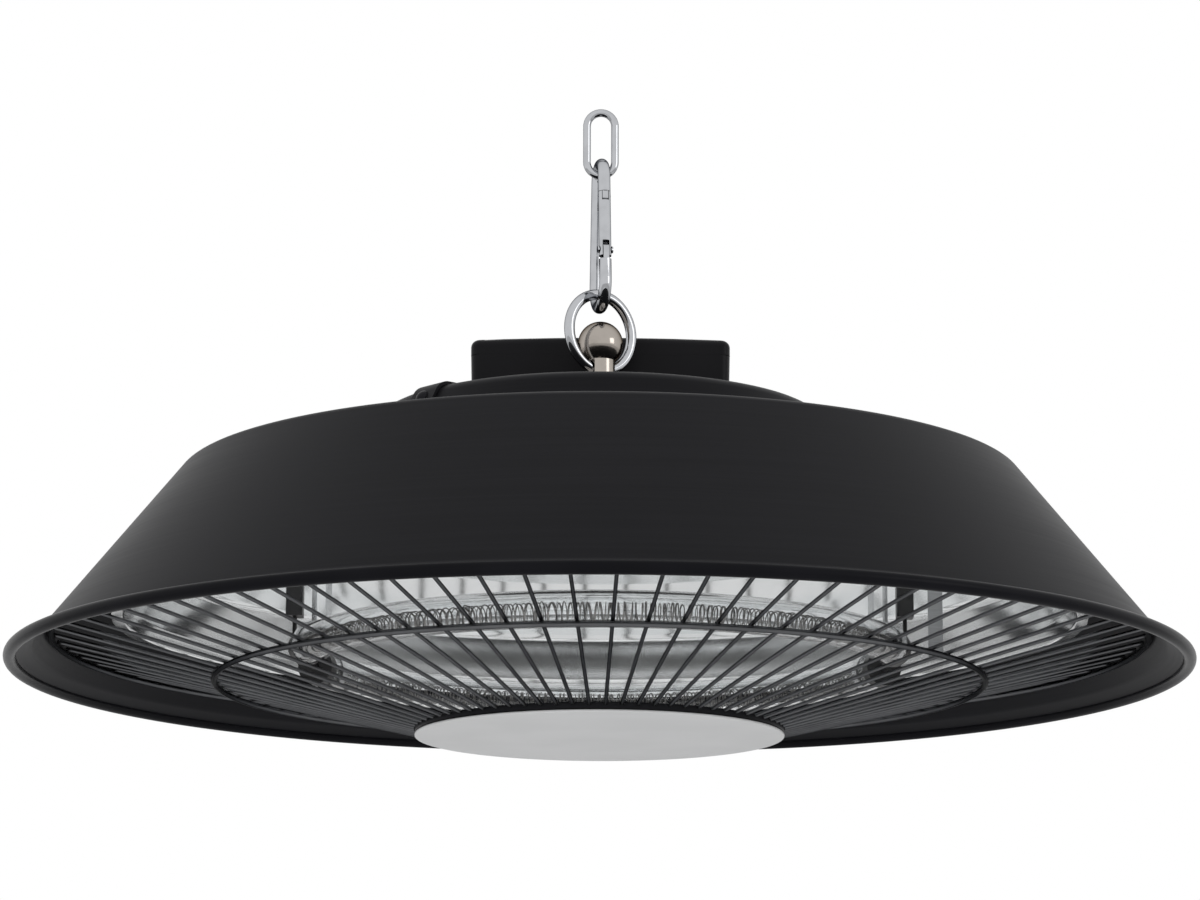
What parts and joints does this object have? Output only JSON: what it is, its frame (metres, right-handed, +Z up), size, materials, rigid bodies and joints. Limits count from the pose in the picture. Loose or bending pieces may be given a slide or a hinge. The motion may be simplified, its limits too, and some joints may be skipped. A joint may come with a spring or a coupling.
{
  "type": "hanging infrared patio heater",
  "caption": "Hanging infrared patio heater: a round black shade with reflector, quartz heating tubes and wire guard below, a control box above, on a snap hook and ring.",
  "frame": {"origin": "the contact point inside the top of the chain link, where the ceiling hook carries the heater", "axes": "+Z up along the hanging line, +Y towards the control box at the back, +X to the right seen from the front"},
  "size_m": [0.5999, 0.6, 0.3314],
  "materials": {
    "bright_steel": "bright zinc-plated steel, polished",
    "ball_nickel": "nickel plate, a little duller than the ring",
    "spring_steel": "bare spring steel",
    "zinc_hardware": "zinc-plated hardware",
    "black_coat": "black powder coat, satin, with faint spinning lines",
    "black_hardware": "blackened screws, satin",
    "guard_metal": "dark plated wire",
    "disc_grey": "matte grey heat-resistant paint",
    "box_black": "black moulded plastic, fine texture, glossier edges",
    "board_green": "circuit board laminate",
    "component_dark": "moulded component case",
    "terminal_grey": "grey terminal housing",
    "seal_rubber": "black rubber",
    "insulator_white": "off-white ceramic insulator",
    "insulator_black": "black glazed ceramic insulator",
    "reflector_bright": "anodised aluminium, mirror polished",
    "plain_steel": "plain galvanised sheet",
    "quartz": "clear quartz glass",
    "heating_wire": "oxidised resistance wire",
    "clip_steel": "polished spring clip steel",
    "lead_black": "black heat-resistant insulation"
  },
  "bodies": {
    "link_body": {"chain_link": "bright_steel"},
    "hook_body": {"snap_hook": "bright_steel", "gate_rivet": "bright_steel"},
    "gate_body": {"hook_gate": "bright_steel", "gate_spring": "spring_steel", "latch_pin": "bright_steel"},
    "ring_body": {"hanging_ring": "bright_steel"},
    "heater_body": {"ball_stud": "ball_nickel", "stud_washer": "zinc_hardware", "stud_nut": "zinc_hardware", "top_cap": "black_coat", "hanger_strap": "black_coat", "strap_screws": "black_hardware", "cap_screws": "black_hardware", "shade": "black_coat", "reflector": "reflector_bright", "reflector_spacers": "plain_steel", "heat_shield": "plain_steel", "shield_spacers": "plain_steel", "reflector_screws": "zinc_hardware", "reflector_nuts": "black_hardware", "box_spacers": "insulator_black", "spacer_screws": "zinc_hardware", "box_base": "box_black", "box_lid": "box_black", "box_screws": "black_hardware", "control_board": "board_green", "power_relay": "component_dark", "mains_terminals": "terminal_grey", "cord_gland": "box_black", "gland_nut": "box_black", "gland_locknut": "box_black", "wire_grommet": "seal_rubber", "quartz_tubes": "quartz", "tube_end_caps": "insulator_white", "heating_coils": "heating_wire", "tube_brackets": "clip_steel", "lead_posts": "insulator_black", "lead_wires": "lead_black", "earth_strap": "plain_steel", "thermal_cutout": "component_dark", "junction_block": "insulator_white", "guard_outer_ring": "guard_metal", "guard_middle_ring": "guard_metal", "guard_hub_ring": "black_coat", "guard_wires": "guard_metal", "guard_clips": "black_coat", "hub_plate": "black_coat", "disc_cover": "disc_grey", "disc_nuts": "zinc_hardware"}
  },
  "joints": [
    {"name": "hook_swing", "type": "hinge", "parent": "link_body", "child": "hook_body", "pos_m": [0, 0, -0.032], "axis": [1, 0, 0], "range_deg": [-40, 40]},
    {"name": "gate_open", "type": "hinge", "parent": "hook_body", "child": "gate_body", "pos_m": [0.00227, -0.01065, -0.07479], "axis": [-0.9781, -0.2079, 0], "range_deg": [0, 20], "stiffness_Nm_per_rad": 0.05, "springref_deg": -20.05},
    {"name": "ring_swing", "type": "hinge", "parent": "hook_body", "child": "ring_body", "pos_m": [0, 0, -0.10275], "axis": [0.2079, -0.9781, 0], "range_deg": [-30, 30]},
    {"name": "heater_rock", "type": "hinge", "parent": "ring_body", "child": "heater_body", "pos_m": [0, 0, -0.13572], "axis": [0.7986, 0.6018, 0], "range_deg": [-20, 20]}
  ]
}
